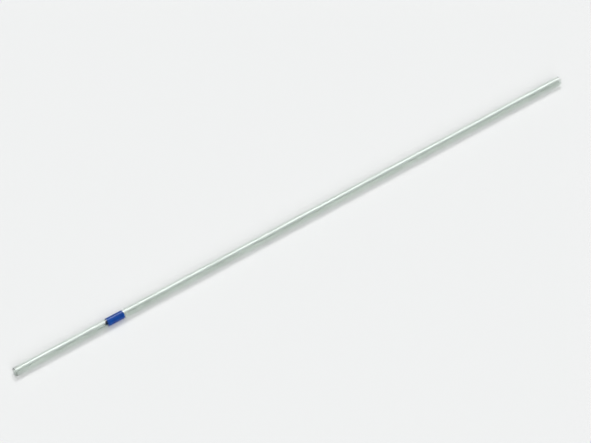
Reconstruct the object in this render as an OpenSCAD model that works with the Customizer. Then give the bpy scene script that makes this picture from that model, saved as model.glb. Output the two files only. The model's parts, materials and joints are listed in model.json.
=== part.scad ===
// Ring-marked glass capillary tube, 100 microlitres, lying on its side.
// It is one length of drawn glass with a ring of coloured enamel fired onto it.
// The tube's axis runs along X: the holding end is at -X, the measuring end at +X.
// The origin is on the surface that the tube lies on, under the middle of its length.

/* [Glass tube] */
// Length from end to end
tube_length = 125; // [60:0.5:200]
// Outside diameter of the glass
outer_d = 1.6; // [1.3:0.05:4]
// Diameter of the bore
bore_d = 1.12; // [0.4:0.01:1.2]
// Radius that fire polishing leaves on each edge of the two ends
polish_r = 0.08; // [0.02:0.01:0.12]

/* [Ring mark] */
// Distance from the holding end to the ring's nearer edge
ring_setback = 20; // [5:0.5:40]
// Width of the ring along the tube
ring_w = 3.6; // [1:0.1:8]
// Thickness of the fired enamel
enamel_t = 0.015; // [0.01:0.001:0.06]
// Length over which each edge of the enamel thins out to nothing
enamel_edge = 0.12; // [0.04:0.01:0.4]

/* [Hidden] */
outer_r = outer_d / 2;
bore_r = bore_d / 2;
wall = outer_r - bore_r;
// The polished edges never take up more than four fifths of the wall
edge_r = min(polish_r, 0.4 * wall);
// Straight steps along the quarter circle of one polished edge
edge_steps = 6;
// The ring stands proud of the glass, so it is what touches the surface below
axis_z = outer_r + enamel_t;
round_fn = 96;

// Points of a quarter circle about centre, from the angle start onwards
function quarter(centre, r, start) = [
    for (i = [0 : edge_steps])
        let (angle = start + 90 * i / edge_steps)
            centre + r * [cos(angle), sin(angle)]
];

// Section of the wall, as [distance from the axis, distance from the holding end]
function wall_section() = concat(
    quarter([outer_r - edge_r, edge_r], edge_r, -90),
    quarter([outer_r - edge_r, tube_length - edge_r], edge_r, 0),
    quarter([bore_r + edge_r, tube_length - edge_r], edge_r, 90),
    quarter([bore_r + edge_r, edge_r], edge_r, 180)
);

// Section of the enamel, thick in the middle and thinning out along the glass at both edges
function enamel_section() = [
    [outer_r, ring_setback],
    [outer_r + enamel_t, ring_setback + enamel_edge],
    [outer_r + enamel_t, ring_setback + ring_w - enamel_edge],
    [outer_r, ring_setback + ring_w]
];

// Turns a section about the tube's axis, with the holding end at -X
module turned(section) {
    translate([-tube_length / 2, 0, axis_z])
        rotate([0, 90, 0])
            rotate_extrude($fn = round_fn)
                polygon(section);
}

// The drawn glass tube, open at both ends
module glass_tube() {
    color([0.80, 0.88, 0.87, 0.45])
        turned(wall_section());
}

// The fired enamel ring that marks the volume
module ring_mark() {
    color([0.05, 0.15, 0.55])
        turned(enamel_section());
}

glass_tube();
ring_mark();
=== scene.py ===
# A glass capillary tube with a fired blue ring mark, lying on a pale studio floor.
# Lengths are metres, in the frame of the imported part: the tube's axis runs along X, +Z is up.
import json
import math

import bmesh
import bpy
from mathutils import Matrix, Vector


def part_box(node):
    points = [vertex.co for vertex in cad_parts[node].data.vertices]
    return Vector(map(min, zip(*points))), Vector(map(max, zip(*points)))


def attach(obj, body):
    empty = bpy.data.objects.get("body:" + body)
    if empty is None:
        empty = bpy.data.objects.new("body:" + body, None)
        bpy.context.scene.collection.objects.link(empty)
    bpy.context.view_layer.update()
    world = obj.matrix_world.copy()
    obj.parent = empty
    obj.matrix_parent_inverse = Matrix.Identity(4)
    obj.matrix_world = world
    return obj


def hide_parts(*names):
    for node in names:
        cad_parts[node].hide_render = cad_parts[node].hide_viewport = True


MM = 0.001
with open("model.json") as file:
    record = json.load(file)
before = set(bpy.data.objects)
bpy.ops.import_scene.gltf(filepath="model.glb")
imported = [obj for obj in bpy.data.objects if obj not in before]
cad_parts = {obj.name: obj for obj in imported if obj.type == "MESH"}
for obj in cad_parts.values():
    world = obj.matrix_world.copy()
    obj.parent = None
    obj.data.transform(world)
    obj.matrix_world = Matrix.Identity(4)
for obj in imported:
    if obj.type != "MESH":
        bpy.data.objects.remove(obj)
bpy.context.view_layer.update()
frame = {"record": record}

# ---------------------------------------------------------------- sizes, from the frame
TUBE_LO, TUBE_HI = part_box("glass_tube")
RING_LO, RING_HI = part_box("ring_mark")
MOUNTS = {m["name"]: m for m in frame["record"]["mounts"]}
OUTER_R = MOUNTS["outside"]["dims"]["r_mm"] * MM
BORE_R = MOUNTS["bore"]["dims"]["r_mm"] * MM
AXIS_Z = MOUNTS["bore"]["pos_m"][2]
ENAMEL_T = RING_HI.z - AXIS_Z - OUTER_R
CENTRE = Vector(((TUBE_LO.x + TUBE_HI.x) / 2, 0, AXIS_Z))

# ---------------------------------------------------------------- what making it leaves
POLISH_R = 0.08 * MM  # the radius that fire polishing leaves on each edge of the two ends
DIP_BROAD, DIP_FINE = 0.014 * MM, 0.006 * MM  # how far the polished ends sink here and there
# Waves that drawing leaves in the radius, as (share of it, lobes round the tube, metres along the
# tube to a radian, phase): two swellings along it, then an oval and a three-lobed form that turn
DRAWN_WAVES = (
    (0.0012, 0, 9.1 * MM, 0.0),
    (0.0007, 0, 3.7 * MM, 1.3),
    (0.0010, 2, 31 * MM, 0.0),
    (0.0005, 3, -17 * MM, 0.0),
)
MEAN_RADIUS = 1 - sum(wave[0] for wave in DRAWN_WAVES)  # so that no wave tops the CAD's radius

BITE = 0.006 * MM  # how far the fired enamel has sunk into the glass
ENAMEL_EDGE = 0.12 * MM  # over this length each edge of the enamel rises from the glass
# Shares of the enamel's full thickness: its middle, and what the bead by each edge adds to it.
# With both waves at their highest, (BODY + BEAD) * (1 + WAVE_BROAD + WAVE_FINE) is just under 1.
BODY, BEAD = 0.68, 0.18
WAVE_BROAD, WAVE_FINE = 0.10, 0.06
BEAD_CREST = 1.6  # how far in from the edge the bead is highest, in lengths of ENAMEL_EDGE
# How the ring's two edges wander, as (metres, waves round the tube, phase)
NEAR_EDGE_WAVES = ((0.030 * MM, 1, 0.4), (0.018 * MM, 4, 1.1), (0.008 * MM, 11, 0.0))
FAR_EDGE_WAVES = ((0.026 * MM, 1, 2.9), (0.020 * MM, 3, 0.0), (0.009 * MM, 13, 0.5))

AROUND = 160  # facets round the tube
ALONG = 64  # steps along each wall
LIP_STEPS = 8  # steps round each quarter of a polished edge
RING_STEPS = 36  # steps across the ring mark

# ---------------------------------------------------------------- looks
# How many cells of noise there are to a metre, along each axis
DRAW_LINES = (60, 9000, 9000)
RIPPLE = (500, 500, 500)
MOTTLE = (1400, 1400, 1400)
GRAIN = (14000, 14000, 14000)

GLASS_ROUGHNESS = (0.0, 0.03)
ENAMEL_ROUGHNESS = (0.22, 0.38)
ENAMEL_BLUES = ((0.30, (0.001, 0.038, 0.245)), (0.72, (0.001, 0.074, 0.375)))

# The room's tone at each height, which is 0 level with the floor and 1 overhead
ROOM = (
    (0.035, (0.87, 0.88, 0.88)),  # the floor's own tone, so that no line shows where they meet
    (0.06, (0.01, 0.01, 0.01)),  # a dark belt all round, which draws the glass's dark lines
    (0.36, (0.01, 0.01, 0.01)),
    (0.66, (0.52, 0.52, 0.52)),  # a paler ceiling, which the tube mirrors along its top
)
# Each lamp's name, the way to it from the tube, how many degrees wide it looks, and W/m2
LAMPS = (
    ("key", (0.48, 0.62, 1.05), 26, 1.25),  # behind the tube: the bright line along its top
    ("front", (-0.30, -0.95, 0.80), 50, 1.35),  # the camera's side: fills the shadow
)
FLOOR_HALF = 6.0  # half the floor's width

# The camera looks down along the tube from the holding end
CAMERA_AZIMUTH, CAMERA_ELEVATION, CAMERA_DISTANCE = -35, 50, 0.72
SHARE_OF_WIDTH = 0.92  # how much of the picture's width the tube takes up


# ---------------------------------------------------------------- meshes
def arc(centre, radius, start, end, steps):
    """Points (x, distance from the axis) along an arc, angles in degrees."""
    points = []
    for k in range(steps + 1):
        t = math.radians(start + (end - start) * k / steps)
        points.append((centre[0] + radius * math.cos(t), centre[1] + radius * math.sin(t)))
    return points


def placed(name, data):
    """A new object in the scene."""
    obj = bpy.data.objects.new(name, data)
    bpy.context.scene.collection.objects.link(obj)
    return obj


def turned(name, section, place):
    """A closed skin round the tube's axis. place(point, angle) gives x and the radius there."""
    bm = bmesh.new()
    loops = []
    for point in section:
        loop = []
        for i in range(AROUND):
            angle = 2 * math.pi * i / AROUND
            x, r = place(point, angle)
            loop.append(bm.verts.new((x, r * math.cos(angle), AXIS_Z + r * math.sin(angle))))
        loops.append(loop)
    for a, b in zip(loops, loops[1:] + loops[:1]):
        for i in range(AROUND):
            j = (i + 1) % AROUND
            bm.faces.new((a[i], a[j], b[j], b[i]))
    bmesh.ops.recalc_face_normals(bm, faces=bm.faces)
    mesh = bpy.data.meshes.new(name)
    bm.to_mesh(mesh)
    bm.free()
    mesh.polygons.foreach_set("use_smooth", [True] * len(mesh.polygons))
    return placed(name, mesh)


def drawn(x, angle):
    """The factor, never over 1, by which a drawn tube's radius strays from true at one place."""
    return MEAN_RADIUS + sum(
        share * math.sin(lobes * angle + x / length + phase)
        for share, lobes, length, phase in DRAWN_WAVES
    )


def wander(waves, angle):
    """How far along the tube an edge of the ring strays at one place round it."""
    return sum(size * math.sin(count * angle + phase) for size, count, phase in waves)


def glass_tube():
    """Drawn glass, open at both ends, fire polished, and a little uneven from drawing."""
    x0, x1 = TUBE_LO.x + POLISH_R, TUBE_HI.x - POLISH_R
    outer_c, bore_c = OUTER_R - POLISH_R, BORE_R + POLISH_R
    along = [x0 + (x1 - x0) * k / ALONG for k in range(1, ALONG)]
    section = (
        arc((x0, outer_c), POLISH_R, 180, 90, LIP_STEPS)
        + [(x, OUTER_R) for x in along]
        + arc((x1, outer_c), POLISH_R, 90, 0, LIP_STEPS)
        + arc((x1, bore_c), POLISH_R, 0, -90, LIP_STEPS)
        + [(x, BORE_R) for x in reversed(along)]
        + arc((x0, bore_c), POLISH_R, -90, -180, LIP_STEPS)
    )

    def place(point, angle):
        x, r = point
        beyond = max(abs(x) - x1, 0) / POLISH_R  # 1 on an end face, 0 on the walls
        dip = DIP_BROAD * math.sin(angle + 0.7) ** 2 + DIP_FINE * math.sin(3 * angle) ** 2
        return x - math.copysign(dip * beyond, x), r * drawn(x, angle)

    return turned("drawn_glass", section, place)


def ring_mark():
    """Fired enamel: a band with wandering edges that bead up, then thin out onto the glass."""
    width = RING_HI.x - RING_LO.x

    def profile(u):
        """Thickness across the band, as a share of its full thickness; u runs from 0 to 1."""
        from_edge = min(u, 1 - u) * width / ENAMEL_EDGE
        rise = math.sin(math.pi / 2 * min(from_edge, 1))
        return rise * (BODY + BEAD * math.exp(-((from_edge - BEAD_CREST) ** 2)))

    def place(point, angle):
        """u is how far across the band; skin is 1 on the outer face and 0 on the face within."""
        u, skin = point
        near, far = wander(NEAR_EDGE_WAVES, angle), wander(FAR_EDGE_WAVES, angle)
        x = RING_LO.x + u * width + near * (1 - u) + far * u
        wave = WAVE_BROAD * math.sin(5 * angle + 9 * u) + WAVE_FINE * math.sin(9 * angle - 14 * u)
        r = OUTER_R * drawn(x, angle)
        return x, r + (ENAMEL_T * profile(u) * (1 + wave) if skin else -BITE)

    us = [0.5 - 0.5 * math.cos(math.pi * k / RING_STEPS) for k in range(RING_STEPS + 1)]
    section = [(u, 1) for u in us] + [(u, 0) for u in reversed(us)]
    return turned("fired_enamel", section, place)


# ---------------------------------------------------------------- materials
class Nodes:
    """Short names for building the node tree of a material or a world."""

    def __init__(self, owner):
        owner.use_nodes = True
        self.owner = owner
        self.tree = owner.node_tree
        self.tree.nodes.clear()

    def add(self, kind, **inputs):
        """A node with its inputs set. In a socket's name, _ stands for a space."""
        node = self.tree.nodes.new(kind)
        for key, value in inputs.items():
            target = node.inputs[key.replace("_", " ")]
            if isinstance(value, bpy.types.NodeSocket):
                self.tree.links.new(value, target)
            else:
                target.default_value = value
        return node

    def noise(self, cells, detail):
        """Noise over the object's own coordinates, with so many cells to a metre."""
        place = self.add("ShaderNodeTexCoord").outputs["Object"]
        spread = self.add("ShaderNodeMapping", Vector=place, Scale=cells).outputs["Vector"]
        texture = self.add("ShaderNodeTexNoise", Vector=spread, Scale=1.0, Detail=detail)
        return texture.outputs["Fac"]

    def between(self, factor, low, high):
        """A number that runs from low to high as factor runs from 0 to 1."""
        node = self.add("ShaderNodeMapRange", Value=factor, To_Min=low, To_Max=high)
        return node.outputs["Result"]

    def ramp(self, factor, stops):
        """The colour at factor, among stops of (place, colour)."""
        node = self.add("ShaderNodeValToRGB", Fac=factor)
        elements = node.color_ramp.elements
        for k, (place, colour) in enumerate(stops):
            stop = elements[k] if k < 2 else elements.new(place)
            stop.position, stop.color = place, (*colour, 1)
        return node.outputs["Color"]


def glass_material():
    """Clear soda-lime glass with faint draw lines and a trace of green through its thickness."""
    n = Nodes(bpy.data.materials.new("clear_glass"))
    lines, ripple = n.noise(DRAW_LINES, 3.0), n.noise(RIPPLE, 2.0)
    fine = n.add("ShaderNodeBump", Height=lines, Strength=0.12, Distance=0.004 * MM)
    bump = n.add("ShaderNodeBump", Height=ripple, Strength=0.10, Distance=0.02 * MM,
                 Normal=fine.outputs["Normal"])
    shader = n.add("ShaderNodeBsdfPrincipled", Base_Color=(0.997, 1.0, 0.998, 1), IOR=1.516,
                   Transmission_Weight=1.0, Roughness=n.between(ripple, *GLASS_ROUGHNESS),
                   Normal=bump.outputs["Normal"])
    tint = n.add("ShaderNodeVolumeAbsorption", Color=(0.32, 0.80, 0.44, 1), Density=300.0)
    n.add("ShaderNodeOutputMaterial", Surface=shader.outputs[0], Volume=tint.outputs[0])
    return n.owner


def enamel_material():
    """Cobalt blue glass enamel, fired to a half gloss, with a slow mottle of paler blue."""
    n = Nodes(bpy.data.materials.new("blue_enamel"))
    mottle, grain = n.noise(MOTTLE, 4.0), n.noise(GRAIN, 2.0)
    bump = n.add("ShaderNodeBump", Height=grain, Strength=0.25, Distance=0.004 * MM)
    shader = n.add("ShaderNodeBsdfPrincipled", Base_Color=n.ramp(mottle, ENAMEL_BLUES), IOR=1.55,
                   Roughness=n.between(mottle, *ENAMEL_ROUGHNESS), Specular_IOR_Level=0.12,
                   Coat_Weight=0.30, Coat_Roughness=0.10, Normal=bump.outputs["Normal"])
    n.add("ShaderNodeOutputMaterial", Surface=shader.outputs[0])
    return n.owner


def floor_material():
    """Matt, nearly white card."""
    n = Nodes(bpy.data.materials.new("pale_floor"))
    shader = n.add("ShaderNodeBsdfPrincipled", Base_Color=(0.90, 0.91, 0.91, 1), Roughness=0.85,
                   Specular_IOR_Level=0.15)
    n.add("ShaderNodeOutputMaterial", Surface=shader.outputs[0])
    return n.owner


# ---------------------------------------------------------------- studio
def floor():
    mesh = bpy.data.meshes.new("floor")
    corners = [(x * FLOOR_HALF, y * FLOOR_HALF, 0) for x, y in ((-1, -1), (1, -1), (1, 1), (-1, 1))]
    mesh.from_pydata(corners, [], [(0, 1, 2, 3)])
    mesh.materials.append(floor_material())
    placed("floor", mesh)


def from_angles(azimuth, elevation):
    """The way from the tube to the camera. Azimuth 0 is the -Y side, and 90 the +X side."""
    a, e = math.radians(azimuth), math.radians(elevation)
    return Vector((math.sin(a) * math.cos(e), -math.cos(a) * math.cos(e), math.sin(e)))


def soft_light(name, way, across, strength):
    """A wide, distant lamp that lights the whole floor evenly."""
    light = bpy.data.lights.new(name, "SUN")
    light.angle = math.radians(across)
    light.energy = strength
    obj = placed(name, light)
    obj.location = CENTRE + Vector(way)
    obj.rotation_euler = Vector(way).to_track_quat("Z", "Y").to_euler()


def surroundings():
    """The room: the floor's tone at the horizon, a dark belt above it, and paler overhead."""
    n = Nodes(bpy.data.worlds.new("studio"))
    way = n.add("ShaderNodeTexCoord").outputs["Generated"]
    height = n.add("ShaderNodeSeparateXYZ", Vector=way).outputs["Z"]
    room = n.add("ShaderNodeBackground", Color=n.ramp(height, ROOM), Strength=1.0)
    n.add("ShaderNodeOutputWorld", Surface=room.outputs[0])
    bpy.context.scene.world = n.owner


def camera():
    """Shows the whole tube at the photo's viewing angle."""
    seen_width = (TUBE_HI.x - TUBE_LO.x) * math.cos(math.radians(CAMERA_AZIMUTH)) / SHARE_OF_WIDTH
    data = bpy.data.cameras.new("camera")
    data.lens = data.sensor_width * CAMERA_DISTANCE / seen_width
    data.clip_start, data.clip_end = 0.01, 50
    towards = from_angles(CAMERA_AZIMUTH, CAMERA_ELEVATION)
    obj = placed("camera", data)
    obj.location = CENTRE + towards * CAMERA_DISTANCE
    obj.rotation_euler = towards.to_track_quat("Z", "Y").to_euler()
    bpy.context.scene.camera = obj


# ---------------------------------------------------------------- the scene
def finished(piece, material, node):
    """Gives a piece its material and its body, and hides the CAD node that it stands for."""
    piece.data.materials.append(material)
    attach(piece, "root")
    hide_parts(node)


camera()
finished(glass_tube(), glass_material(), "glass_tube")
finished(ring_mark(), enamel_material(), "ring_mark")
floor()
surroundings()
for lamp in LAMPS:
    soft_light(*lamp)
# The denoiser works from the picture alone, because its albedo and normal guides are themselves
# noise on clear glass.
bpy.context.scene.cycles.denoising_input_passes = "RGB"
bpy.context.scene.view_settings.view_transform = "Standard"
